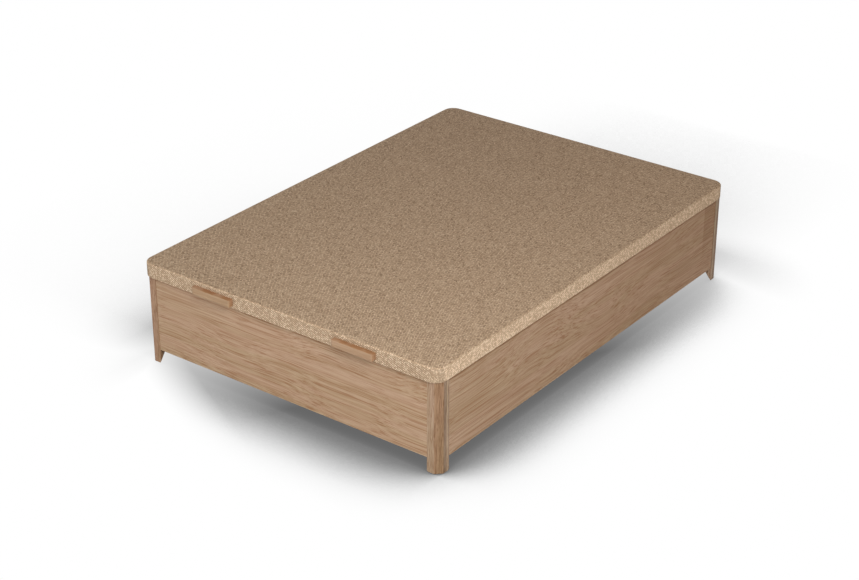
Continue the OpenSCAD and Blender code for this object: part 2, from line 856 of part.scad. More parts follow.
// Draws its children at the four screws of the box plate, in Y and Z
module at_box_screws() {
    for (dy = [box_screw_in, box_plate_w - box_screw_in], dz = [box_screw_in, box_plate_h - box_screw_in])
        translate([inner_x - plate_t, box_plate_y + dy, box_plate_z + dz]) children();
}

module box_bracket() {
    difference() {
        translate([inner_x - plate_t, box_plate_y, box_plate_z]) rotate([90, 0, 90])
            linear_extrude(height = plate_t) rounded_rect(box_plate_w, box_plate_h, box_plate_r);
        at_box_screws() rotate([0, 90, 0]) translate([0, 0, -1])
            cylinder(r = plate_screw_r + csk_gap, h = plate_t + 2);
    }
    stud(eye_x + eye_t / 2 + eye_gap, inner_x - plate_t, stud_box, stud_r + 3);
    stud(stud_end_x, inner_x - plate_t, stud_box, stud_r);
}

module strut_bracket_box_right() color(steel_dark) box_bracket();
module strut_bracket_box_left() color(steel_dark) mirror([1, 0, 0]) box_bracket();

// A pan-head screw whose head lies on the plate, pointing to +X
module plate_screw(bite) {
    head_h = 2;
    rotate([0, 90, 0]) {
        cylinder(r = plate_screw_r, h = plate_t + bite);
        translate([0, 0, -head_h]) cylinder(r = 2 * plate_screw_r - 0.4, h = head_h);
    }
}

module strut_screws_box() {
    color(zinc) left_right() at_box_screws() plate_screw(15);
}

lid_plate_w = 64;
lid_plate_in = 2;
lid_screw_y = 22;

// Draws its children at the two screws of the lid plate
module at_lid_screws() {
    for (side = [-1, 1])
        translate([plate_lid_x, stud_lid[0] + side * lid_screw_y, tube_z + tube_h / 2]) children();
}

// The lid bracket is a tapered plate on the inner face of the side tube
module lid_plate_outline() {
    toe_r = 13;
    shoulder = tube_z + lid_plate_in;
    top = tube_z + tube_h - lid_plate_in;
    translate(stud_lid) circle(r = toe_r);
    polygon([
        [stud_lid[0] - toe_r, stud_lid[1]], [stud_lid[0] + toe_r, stud_lid[1]],
        [stud_lid[0] + lid_plate_w / 2, shoulder], [stud_lid[0] + lid_plate_w / 2, top],
        [stud_lid[0] - lid_plate_w / 2, top], [stud_lid[0] - lid_plate_w / 2, shoulder]
    ]);
}

module lid_bracket() {
    difference() {
        translate([plate_lid_x, 0, 0]) rotate([90, 0, 90]) linear_extrude(height = plate_t)
            lid_plate_outline();
        at_lid_screws() rotate([0, 90, 0]) translate([0, 0, -1])
            cylinder(r = plate_screw_r + csk_gap, h = plate_t + 2);
    }
    stud(stud_end_x, plate_lid_x, stud_lid, stud_r);
}

module strut_bracket_lid_right() color(steel_dark) lid_bracket();
module strut_bracket_lid_left() color(steel_dark) mirror([1, 0, 0]) lid_bracket();

module strut_screws_lid() {
    color(zinc) left_right() at_lid_screws() plate_screw(tube_wall + 6);
}

module clip(place) {
    difference() {
        stud(clip_x, clip_x + clip_t, place, eye_r);
        stud(clip_x - 1, clip_x + clip_t + 1, place, stud_r);
    }
}

module strut_clips_box() color(zinc) left_right() clip(stud_box);
module strut_clips_lid() color(zinc) left_right() clip(stud_lid);

post(-1, -1);  // post_foot_left
post(1, -1);  // post_foot_right
post(-1, 1);  // post_head_left
post(1, 1);  // post_head_right
panel_foot();
panel_head();
panel_left();
panel_right();
cleat_foot();
cleat_head();
cleat_left();
cleat_right();
floor_board_foot();
floor_board_head();
cross_bar(0);  // cross_bar_foot
cross_bar(1);  // cross_bar_middle
cross_bar(2);  // cross_bar_head
centre_leg(0);  // centre_leg_foot
centre_leg(1);  // centre_leg_middle
centre_leg(2);  // centre_leg_head
centre_feet();
leg_glides();
cam_discs();
cam_bolts();
dowels();
hinge_leaf_box(0);  // hinge_leaf_box_left
hinge_leaf_box(1);  // hinge_leaf_box_middle
hinge_leaf_box(2);  // hinge_leaf_box_right
hinge_pins();
hinge_screws_box();
strut_bracket_box_left();
strut_bracket_box_right();
strut_screws_box();
strut_clips_box();
lid_cover();
lid_foam();
lid_board();
lid_tube_foot();
lid_tube_head();
lid_tube_left();
lid_tube_right();
lid_cross_tube(0);  // lid_cross_tube_foot
lid_cross_tube(1);  // lid_cross_tube_middle
lid_cross_tube(2);  // lid_cross_tube_head
lid_corners();
pull(-1);  // pull_left
pull(1);  // pull_right
pull_screws();
hinge_leaf_lid(0);  // hinge_leaf_lid_left
hinge_leaf_lid(1);  // hinge_leaf_lid_middle
hinge_leaf_lid(2);  // hinge_leaf_lid_right
hinge_screws_lid();
strut_bracket_lid_left();
strut_bracket_lid_right();
strut_screws_lid();
strut_clips_lid();
strut_cylinder(-1);  // strut_cylinder_left
strut_cylinder(1);  // strut_cylinder_right
strut_rod(-1);  // strut_rod_left
strut_rod(1);  // strut_rod_right
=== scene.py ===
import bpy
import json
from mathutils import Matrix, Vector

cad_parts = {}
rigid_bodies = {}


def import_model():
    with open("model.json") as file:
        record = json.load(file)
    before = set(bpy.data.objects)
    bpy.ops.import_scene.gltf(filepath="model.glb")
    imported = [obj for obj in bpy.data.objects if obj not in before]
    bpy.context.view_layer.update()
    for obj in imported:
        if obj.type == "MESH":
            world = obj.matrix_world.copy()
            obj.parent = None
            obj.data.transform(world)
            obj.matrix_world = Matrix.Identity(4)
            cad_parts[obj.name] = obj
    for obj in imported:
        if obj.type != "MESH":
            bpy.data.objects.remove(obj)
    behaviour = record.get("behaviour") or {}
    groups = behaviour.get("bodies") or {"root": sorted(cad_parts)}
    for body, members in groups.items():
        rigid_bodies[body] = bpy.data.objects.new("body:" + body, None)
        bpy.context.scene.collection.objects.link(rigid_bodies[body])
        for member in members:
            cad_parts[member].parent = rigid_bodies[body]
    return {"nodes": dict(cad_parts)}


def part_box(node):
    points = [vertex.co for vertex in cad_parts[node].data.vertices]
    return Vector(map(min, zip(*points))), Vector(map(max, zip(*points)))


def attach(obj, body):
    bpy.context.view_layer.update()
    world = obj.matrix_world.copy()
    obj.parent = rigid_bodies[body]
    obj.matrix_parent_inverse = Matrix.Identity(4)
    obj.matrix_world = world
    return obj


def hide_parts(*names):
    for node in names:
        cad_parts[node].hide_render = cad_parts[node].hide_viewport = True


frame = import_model()

"""Looks of the ottoman bed: finishes for its rigid pieces, and its padded lid and screws as meshes.

Lengths are metres in the bed's frame: +X to the right seen from the foot, +Y to the head, +Z up.
"""

import json
import logging
import math
from dataclasses import dataclass, field
from enum import Enum
from functools import partialmethod, reduce
from typing import Callable, Sequence

import bpy
import numpy as np
from mathutils import Matrix, Vector

LOG = logging.getLogger("ottoman_bed")
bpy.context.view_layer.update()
SAME_PLACE = 1e-7

Colour = tuple[float, float, float]
Place = tuple[float, float, float]
Material = bpy.types.Material
Object = bpy.types.Object
Socket = bpy.types.NodeSocket
Value = Socket | float


class Grain(Enum):
    """Direction in which the fibres of a wooden piece run, as the order of its axes."""

    ALONG_X = (0, 1, 2)
    ALONG_Y = (1, 0, 2)
    ALONG_Z = (2, 0, 1)


def toned(colour: Colour, *shares: float) -> Colour:
    """Returns a colour times one share, or times a share for each of its parts."""
    return tuple(np.multiply(colour, shares).tolist())


class ShaderSheet:
    """The node sheet of a material or a world, with short ways to add nodes and wire them."""

    def __init__(self, name: str, kind: str = "materials") -> None:
        """Starts the empty sheet of a new material, or of a new world."""
        self.owner = getattr(bpy.data, kind).new(name)
        self.owner.use_nodes = True
        self.tree = self.owner.node_tree
        self.tree.nodes.clear()

    def add(self, kind: str, sockets: dict | None = None, **settings: object) -> bpy.types.Node:
        """Adds a node of a kind, with a value or a link for its inputs, and its own settings."""
        node = self.tree.nodes.new(f"ShaderNode{kind}")
        for key, value in settings.items():
            setattr(node, key, value)
        for key, value in (sockets or {}).items():
            if isinstance(value, Socket):
                self.tree.links.new(value, node.inputs[key])
            else:
                node.inputs[key].default_value = value
        return node

    def math(self, operation: str, *values: Value) -> Socket:
        """Returns the result of one arithmetic step on one to three numbers."""
        return self.add("Math", dict(enumerate(values)), operation=operation).outputs[0]

    above = partialmethod(math, "GREATER_THAN")
    absolute = partialmethod(math, "ABSOLUTE")

    def fold(self, operation: str, *values: Value) -> Socket:
        """Returns the product, sum or largest of numbers, by one step after another."""
        return reduce(lambda done, value: self.math(operation, done, value), values)

    times = partialmethod(fold, "MULTIPLY")
    plus = partialmethod(fold, "ADD")
    most = partialmethod(fold, "MAXIMUM")

    def scaled(self, value: Value, gain: Value, start: Value) -> Socket:
        """Returns a number times its gain, added to a start."""
        return self.math("MULTIPLY_ADD", value, gain, start)

    def within(self, value: Socket, start: float, end: float) -> Socket:
        """Returns how far a number has gone from a start to an end, from 0 to 1."""
        return self.add("MapRange", {"Value": value, "From Min": start, "From Max": end}).outputs[0]

    def combine(self, *values: Value) -> Socket:
        """Returns the vector of three numbers."""
        return self.add("CombineXYZ", dict(enumerate(values))).outputs[0]

    def place(self, kind: str = "Object") -> Socket:
        """Returns the place on the piece, its flat place or its normal."""
        return self.add("TexCoord").outputs[kind]

    def axes(self, kind: str = "Object") -> Sequence[Socket]:
        """Returns the three numbers of a place or normal."""
        return self.add("SeparateXYZ", {0: self.place(kind)}).outputs

    def noise(self, vector: Socket, scale: float = 1.0, detail: float = 2.0,
              roughness: float = 0.5) -> Socket:
        """Returns soft noise between 0 and 1 at a place."""
        return self.add("TexNoise", {
            "Vector": vector, "Scale": scale, "Detail": detail, "Roughness": roughness,
        }).outputs[0]

    def ramp(self, factor: Socket, *stops: tuple[float, Colour | float]) -> Socket:
        """Turns a number from 0 to 1 into a colour, by stops of place and colour or grey."""
        node = self.add("ValToRGB", {"Fac": factor})
        elements = node.color_ramp.elements
        while len(elements) < len(stops):
            elements.new(1.0)
        for element, (place, colour) in zip(elements, stops):
            element.position = place
            element.color = (*(colour if isinstance(colour, tuple) else [colour] * 3), 1.0)
        return node.outputs["Color"]

    def mix(self, share: Value, *colours: Socket | Colour, blend: str = "MIX") -> Socket:
        """Mixes two colours by the share of the second, in one of Blender's ways."""
        low, high = ((*colour, 1.0) if isinstance(colour, tuple) else colour for colour in colours)
        node = self.add("Mix", {0: share, 6: low, 7: high}, data_type="RGBA", blend_type=blend)
        return node.outputs[2]

    def tinted(self, colour: Socket, tint: Socket | Colour, share: Value = 1.0) -> Socket:
        """Returns a colour times a tint, by a share."""
        return self.mix(share, colour, tint, blend="MULTIPLY")

    def bump(self, height: Socket, depth: float, strength: float) -> Socket:
        """Returns a normal bent by a height from 0 to 1 that stands for a depth in metres."""
        inputs = {"Height": height, "Distance": depth, "Strength": strength}
        return self.add("Bump", inputs).outputs[0]

    def surface(self, sockets: dict) -> Material:
        """Ends the sheet with a principled surface of those inputs, and returns the material."""
        self.add("OutputMaterial", {"Surface": self.add("BsdfPrincipled", sockets).outputs[0]})
        return self.owner


Tint = Callable[[ShaderSheet, Socket], Socket]


@dataclass(frozen=True)
class OakFinish:
    """Satin lacquered oak, as streaks, dark and pale lines and fibres drawn out along the grain."""

    name: str
    light: Colour
    middle: Colour
    dark: Colour
    tone_stops: tuple[float, float, float] = (0.38, 0.5, 0.62)
    figure_length: float = 1.1
    figure_share: float = 0.18
    streak_size: tuple[float, float] = (0.26, 0.0075)
    streak_share: float = 0.46
    fibre_size: tuple[float, float] = (0.08, 0.0024)
    fibre_share: float = 0.36
    line_size: tuple[float, float] = (0.20, 0.0038)
    line_share: float = 0.75
    line_brown: Colour = (0.88, 0.77, 0.68)
    pore_size: tuple[float, float] = (0.014, 0.0011)
    pore_share: float = 0.25
    drift: float = 0.13
    drift_size: tuple[float, float] = (0.7, 0.35)
    ripple: float = 0.004
    ripple_size: tuple[float, float] = (0.16, 0.05)
    blush: float = 0.014
    roughness: float = 0.55
    relief: float = 0.00025

    def make(self, grain: Grain, seed: float, tint: Tint | None = None) -> Material:
        """Makes the finish for one piece.

        The place across the grain drifts slowly along it. Noise drawn out along the grain
        gives figure, streaks, lines, fibres and pores. The figure also leans the colour from
        olive to pink.

        Args:
            grain: direction of the fibres.
            seed: shift of the pattern, so that no two boards are alike.
            tint: what the piece's own faces and places change in the colour.
        """
        sheet = ShaderSheet(f"{self.name}_{grain.name.lower()}_{seed:g}")
        place = sheet.axes()
        along, across, deep = (place[axis] for axis in grain.value)
        along = sheet.plus(along, seed)

        def drawn_out(length: float, width: float) -> Socket:
            """Returns a place counted in lengths along the grain and widths across it."""
            sizes = ((along, length), (across, width), (deep, width))
            return sheet.combine(*(sheet.math("DIVIDE", part, size) for part, size in sizes))

        slow = sheet.noise(drawn_out(*self.drift_size), detail=1.0)
        quick = sheet.noise(drawn_out(*self.ripple_size))
        shift = sheet.scaled(slow, self.drift, sheet.times(quick, self.ripple))
        across, deep = sheet.plus(across, shift), sheet.plus(deep, shift)

        figure = sheet.noise(drawn_out(self.figure_length, 5.0 * self.streak_size[1]))
        streak = sheet.noise(drawn_out(*self.streak_size), 1.0, 3.0, 0.55)
        line = sheet.noise(drawn_out(*self.line_size))
        fibre = sheet.noise(drawn_out(*self.fibre_size), roughness=0.6)
        pore = sheet.noise(drawn_out(*self.pore_size), detail=1.0)
        tone = sheet.plus(sheet.times(figure, self.figure_share),
                          sheet.times(streak, self.streak_share),
                          sheet.times(fibre, self.fibre_share))
        colour = sheet.ramp(tone, *zip(self.tone_stops, (self.dark, self.middle, self.light)))
        olive, pink = 1.0 - self.blush, 1.0 + self.blush
        lean = sheet.ramp(figure, (0.40, (olive, pink, olive)), (0.60, (pink, olive, pink)))
        colour = sheet.tinted(colour, lean)
        cut_in = sheet.times(sheet.ramp(line, (0.555, 0), (0.635, 1)), self.line_share)
        colour = sheet.mix(cut_in, colour, toned(self.dark, *self.line_brown))
        pale = sheet.times(sheet.ramp(line, (0.36, 1), (0.44, 0)), 0.6 * self.line_share)
        colour = sheet.mix(pale, colour, toned(self.light, 1.05))
        pores = sheet.ramp(pore, (0.60, 0), (0.74, 1))
        colour = sheet.mix(sheet.times(pores, self.pore_share), colour, toned(self.dark, 0.55))
        if tint:
            colour = tint(sheet, colour)
        height = sheet.math("SUBTRACT", sheet.times(fibre, 0.5), sheet.times(pores, 0.6))
        return sheet.surface({
            "Base Color": colour,
            "Roughness": sheet.scaled(streak, 0.16, self.roughness - 0.08),
            "Normal": sheet.bump(height, self.relief, 0.5),
            "Specular IOR Level": 0.2,
        })


@dataclass(frozen=True)
class WeaveFinish:
    """Basket-woven cloth of thick mottled yarn laid askew, in cream, tan and grey-brown."""

    name: str = "basket_weave"
    yarn: float = 0.0052
    skew: float = math.radians(45)
    cream: Colour = (0.82, 0.63, 0.45)
    tan: Colour = (0.56, 0.395, 0.262)
    brown: Colour = (0.36, 0.24, 0.15)
    grey: Colour = (0.15, 0.12, 0.078)
    gap_shade: Colour = (0.16, 0.15, 0.13)
    pick_share: float = 0.50
    patch_share: float = 0.06
    patch_start: float = 0.12
    thread_share: float = 0.18
    bulge: float = 0.35
    # Painted light: lifts the tone of the side faces.
    border_painted_light: float = 0.17
    # Deeper painted shade in the weave's gaps on the side faces.
    border_gap_shade: float = 0.12
    # Painted light on the faces towards +X and -X.
    flank_painted_light: float = 0.13
    # Smaller share of painted gap shade on the faces towards +X and -X, which look lighter.
    flank_gap_shade_share: float = 0.45
    # Painted highlight along the rounded top edge.
    rim_painted_highlight: float = 0.16
    # Painted light at the foot that falls to painted shade at the head.
    foot_cloth_painted_light: Colour = (1.06, 1.055, 1.04)
    head_cloth_painted_shade: Colour = (0.985, 0.95, 0.915)
    # Share of the painted shade in the weave's gaps.
    gap_shade_share: float = 0.9
    relief: float = 0.0009

    def make(self) -> Material:
        """Makes the cloth from the piece's own flat coordinates, in metres.

        The cloth is a chessboard of crossings, turned by the skew, and the yarns take turns
        on top. Each crossing has one of the yarn's colours and stands highest in its middle,
        with painted shade in the gaps between crossings. Painted light lifts the side faces and
        the faces towards +X and -X, a painted highlight runs along the rounded edge, and
        painted light at the foot falls to painted shade at the head.
        """
        sheet = ShaderSheet(self.name)
        flat = sheet.axes("UV")
        cosine, sine = math.cos(self.skew) / self.yarn, math.sin(self.skew) / self.yarn
        u = sheet.scaled(flat[0], cosine, sheet.times(flat[1], sine))
        v = sheet.scaled(flat[1], cosine, sheet.times(flat[0], -sine))
        column, row = sheet.math("FLOOR", u), sheet.math("FLOOR", v)
        odd = sheet.math("PINGPONG", sheet.plus(column, row), 1.0)
        pick = sheet.add("TexWhiteNoise", {"Vector": sheet.combine(column, row)}).outputs["Value"]
        patch = sheet.noise(sheet.combine(u, v), 0.42, 2.0, 0.6)
        thread = sheet.noise(sheet.combine(u, v, 3.0), 2.6, 2.0, 0.6)
        normal = sheet.axes("Normal")
        facing = sheet.absolute(normal[2])
        # Masks of the side faces and the rounded edge, where light and a highlight are painted, and
        # of the faces towards +X and -X.
        border = sheet.ramp(facing, (0.45, 1), (0.85, 0))
        rim = sheet.ramp(facing, (0.2, 0), (0.5, 1), (0.85, 1), (0.98, 0))
        flank = sheet.ramp(sheet.absolute(normal[0]), (0.93, 0), (0.99, 1))
        tone = sheet.plus(
            sheet.times(pick, self.pick_share),
            sheet.scaled(patch, self.patch_share, self.patch_start),
            sheet.scaled(thread, self.thread_share, sheet.times(border, self.border_painted_light)),
        )
        colour = sheet.ramp(tone, (0.10, self.grey), (0.26, self.brown), (0.42, self.tan),
                            (0.58, self.tan), (0.84, self.cream))
        bow_u, bow_v = (sheet.math("SINE", sheet.times(sheet.math("FRACT", run), math.pi))
                        for run in (u, v))
        up = sheet.times(sheet.math("POWER", bow_u, self.bulge), bow_v)
        over = sheet.times(sheet.math("POWER", bow_v, self.bulge), bow_u)
        height = sheet.add("Mix", {0: odd, 2: up, 3: over}, data_type="FLOAT").outputs[0]
        # Painted shade in the gaps between crossings, deeper on the side faces.
        gap = sheet.scaled(border, -self.border_gap_shade, height)
        shade = sheet.ramp(gap, (0.08, self.gap_shade), (0.62, 1))
        # Painted light on the faces towards +X and -X, and a painted highlight on the rounded edge.
        light = sheet.scaled(flank, self.flank_painted_light, sheet.scaled(rim, self.rim_painted_highlight, 1.0))
        share = sheet.scaled(flank, self.flank_gap_shade_share - self.gap_shade_share, self.gap_shade_share)
        # Painted light falloff from the foot to the head.
        to_head = sheet.within(flat[1], -0.95, 0.95)
        colour = sheet.tinted(colour, sheet.mix(to_head, self.foot_cloth_painted_light, self.head_cloth_painted_shade))
        colour = sheet.tinted(colour, sheet.combine(light, light, light))
        return sheet.surface({
            "Base Color": sheet.tinted(colour, shade, share),
            "Roughness": 0.95,
            "Specular IOR Level": 0.1,
            "Sheen Weight": 0.03,
            "Sheen Roughness": 0.5,
            "Sheen Tint": (0.9, 0.7, 0.5, 1.0),
            "Normal": sheet.bump(height, self.relief, 0.7),
        })


@dataclass(frozen=True)
class FoamFinish:
    """Open-cell foam."""

    name: str = "open_cell_foam"
    colour: Colour = (0.78, 0.70, 0.48)
    cell: float = 0.002
    relief: float = 0.0006

    def make(self) -> Material:
        """Makes the foam, with painted shade in its cells' pits."""
        sheet = ShaderSheet(self.name)
        inputs = {"Vector": sheet.place(), "Scale": 1.0 / self.cell}
        cells = sheet.add("TexVoronoi", inputs).outputs[0]
        return sheet.surface({
            # Painted shade darkens the middle of each cell.
            "Base Color": sheet.ramp(cells, (0.1, toned(self.colour, 0.6)), (0.5, self.colour)),
            "Roughness": 1.0,
            "Specular IOR Level": 0.1,
            "Normal": sheet.bump(cells, self.relief, 0.8),
        })


@dataclass(frozen=True)
class SkinFinish:
    """Metal, powder coat or moulded plastic: one colour, clouded over, with a fine relief."""

    name: str
    colour: Colour
    roughness: float
    metallic: float = 0.0
    cloud: tuple[float, float, float] = (9.0, 4.0, 0.65)
    clouded: tuple[float, float] = (0.85, 0.02)
    spread: float = 0.1
    pebble: tuple[float, float] = (1250.0, 2.0)
    relief: float = 0.00005
    strength: float = 0.6

    def make(self) -> Material:
        """Makes the skin, with another tone and roughness where it is clouded."""
        sheet = ShaderSheet(self.name)
        cloud = sheet.noise(sheet.place(), *self.cloud)
        pebble = sheet.noise(sheet.place(), *self.pebble)
        clouded = tuple(self.clouded[0] * part + self.clouded[1] for part in self.colour)
        return sheet.surface({
            "Base Color": sheet.mix(cloud, self.colour, clouded),
            "Metallic": self.metallic,
            "Roughness": sheet.scaled(cloud, 2.0 * self.spread, self.roughness - self.spread),
            "Normal": sheet.bump(pebble, self.relief, self.strength),
        })


OAK_PANEL = OakFinish("panel_oak", (0.475, 0.335, 0.222), (0.41, 0.268, 0.164),
                      (0.325, 0.185, 0.10), streak_size=(0.5, 0.0075), line_size=(0.42, 0.0038),
                      ripple=0.002, fibre_size=(0.15, 0.0024))
OAK_POST = OakFinish("post_oak", (0.455, 0.325, 0.22), (0.37, 0.25, 0.16), (0.275, 0.17, 0.10),
                     streak_size=(0.06, 0.007), line_size=(0.035, 0.003), drift=0.006,
                     ripple=0.003, fibre_size=(0.08, 0.0022), figure_length=0.4)
OAK_PULL = OakFinish("pull_oak", (0.445, 0.30, 0.19), (0.405, 0.258, 0.158), (0.35, 0.215, 0.125),
                     streak_size=(0.1, 0.008), line_size=(0.06, 0.004), line_share=0.2,
                     drift=0.004, ripple=0.002, pore_share=0.15)
PINE = OakFinish("cleat_pine", (0.70, 0.53, 0.34), (0.62, 0.45, 0.27), (0.47, 0.30, 0.16),
                 streak_size=(0.6, 0.014), line_share=0.25, pore_share=0.0, roughness=0.6)
PLYWOOD = OakFinish("lid_plywood", (0.66, 0.51, 0.34), (0.58, 0.43, 0.27), (0.45, 0.31, 0.18),
                    streak_size=(0.5, 0.03), line_share=0.2, drift=0.08, pore_share=0.15,
                    roughness=0.6)
BEECH = OakFinish("dowel_beech", (0.68, 0.50, 0.33), (0.60, 0.43, 0.27), (0.48, 0.33, 0.20),
                  streak_size=(0.26, 0.004), line_share=0.2, pore_share=0.2)
HARDBOARD = OakFinish("floor_board", (0.60, 0.56, 0.49), (0.55, 0.51, 0.44), (0.49, 0.45, 0.38),
                      streak_size=(0.02, 0.008), line_share=0.1, drift=0.002, pore_share=0.1,
                      blush=0.005, roughness=0.5)
METAL = {"metallic": 1.0, "cloud": (60.0, 3.0, 0.6), "clouded": (0.78, 0.0),
         "pebble": (1800.0, 1.0), "relief": 0.00002, "strength": 0.3}
ZINC = SkinFinish("bright_zinc", (0.62, 0.63, 0.65), 0.34, spread=0.08, **METAL)
ROD = SkinFinish("polished_rod", (0.75, 0.76, 0.78), 0.1, spread=0.03, **METAL)
BLACK_STEEL = SkinFinish("black_powder_coat", (0.035, 0.035, 0.038), 0.45)
STRUT_PAINT = SkinFinish("strut_enamel", (0.02, 0.02, 0.022), 0.28, pebble=(500.0, 2.0),
                         relief=0.00002)
BLACK_PLASTIC = SkinFinish("black_moulding", (0.025, 0.025, 0.026), 0.6)
GLIDE_PLASTIC = SkinFinish("glide_moulding", (0.13, 0.11, 0.09), 0.6)
WEAVE = WeaveFinish()
FOAM = FoamFinish()


def dress(material: Material, *nodes: str) -> None:
    """Gives rigid pieces their finish."""
    for name in nodes:
        for place in frame["nodes"][name].material_slots:
            place.material = material


def new_piece(name: str, points: np.ndarray, faces: np.ndarray, material: Material,
              smooth: bool = True) -> Object:
    """Makes a mesh object. A face whose last two indices are alike is a triangle."""
    mesh = bpy.data.meshes.new(name)
    triangles = faces[:, 2] == faces[:, 3]
    mesh.from_pydata(points, [], [*faces[~triangles].tolist(), *faces[triangles, :3].tolist()])
    mesh.polygons.foreach_set("use_smooth", np.full(len(mesh.polygons), smooth))
    mesh.materials.append(material)
    mesh.update()
    piece = bpy.data.objects.new(name, mesh)
    bpy.context.scene.collection.objects.link(piece)
    return piece


def read(parts: bpy.types.bpy_prop_collection, name: str, width: int,
         kind: type = np.float32) -> np.ndarray:
    """Reads a row of numbers for each vertex, edge or face corner of a mesh."""
    numbers = np.empty(width * len(parts), kind)
    parts.foreach_get(name, numbers)
    return numbers.reshape(-1, width)


def arc(turn: np.ndarray, radius: float = 1.0, centre: Sequence[float] = (0.0, 0.0)) -> np.ndarray:
    """Returns the points of an arc at some angles."""
    return centre + radius * np.column_stack([np.cos(turn), np.sin(turn)])


def spots(points: np.ndarray, size: float = SAME_PLACE) -> np.ndarray:
    """Returns whole numbers that are alike for points on one place."""
    return np.round(points / size).astype(np.int64)


def join_points(points: np.ndarray, faces: np.ndarray) -> tuple[np.ndarray, np.ndarray, np.ndarray]:
    """Merges points that lie on one place and drops faces that this leaves without area.

    Returns:
        Which points are kept, which kept one each point becomes, and the quads, with a
        triangle's last index repeated.
    """
    _, first, index = np.unique(spots(points), axis=0, return_index=True, return_inverse=True)
    faces = index.reshape(-1)[faces]
    turns = np.stack([np.roll(faces, -k, axis=1) for k in range(4)])
    doubled = np.stack([t[:, 2] == t[:, 3] for t in turns])
    best = np.where(doubled.any(0), doubled.argmax(0), 0)
    faces = turns[best, np.arange(len(faces))]
    a, b, c, d = faces.T
    spans = (a != b) & (b != c) & (a != c) & (a != d)
    return first, index.reshape(-1), faces[spans]


def grid_quads(rows: int, columns: int, closed: bool = False) -> np.ndarray:
    """Gives the quads of a grid of points stored row by row, whose last column may meet its first.

    They turn left with rows upwards and columns to the right.
    """
    steps = columns if closed else columns - 1
    row, column = np.meshgrid(np.arange(rows - 1), np.arange(steps), indexing="ij")
    here = (row * columns + column).ravel()
    right = (row * columns + (column + 1) % columns).ravel()
    return np.stack([here, right, right + columns, here + columns], axis=1)


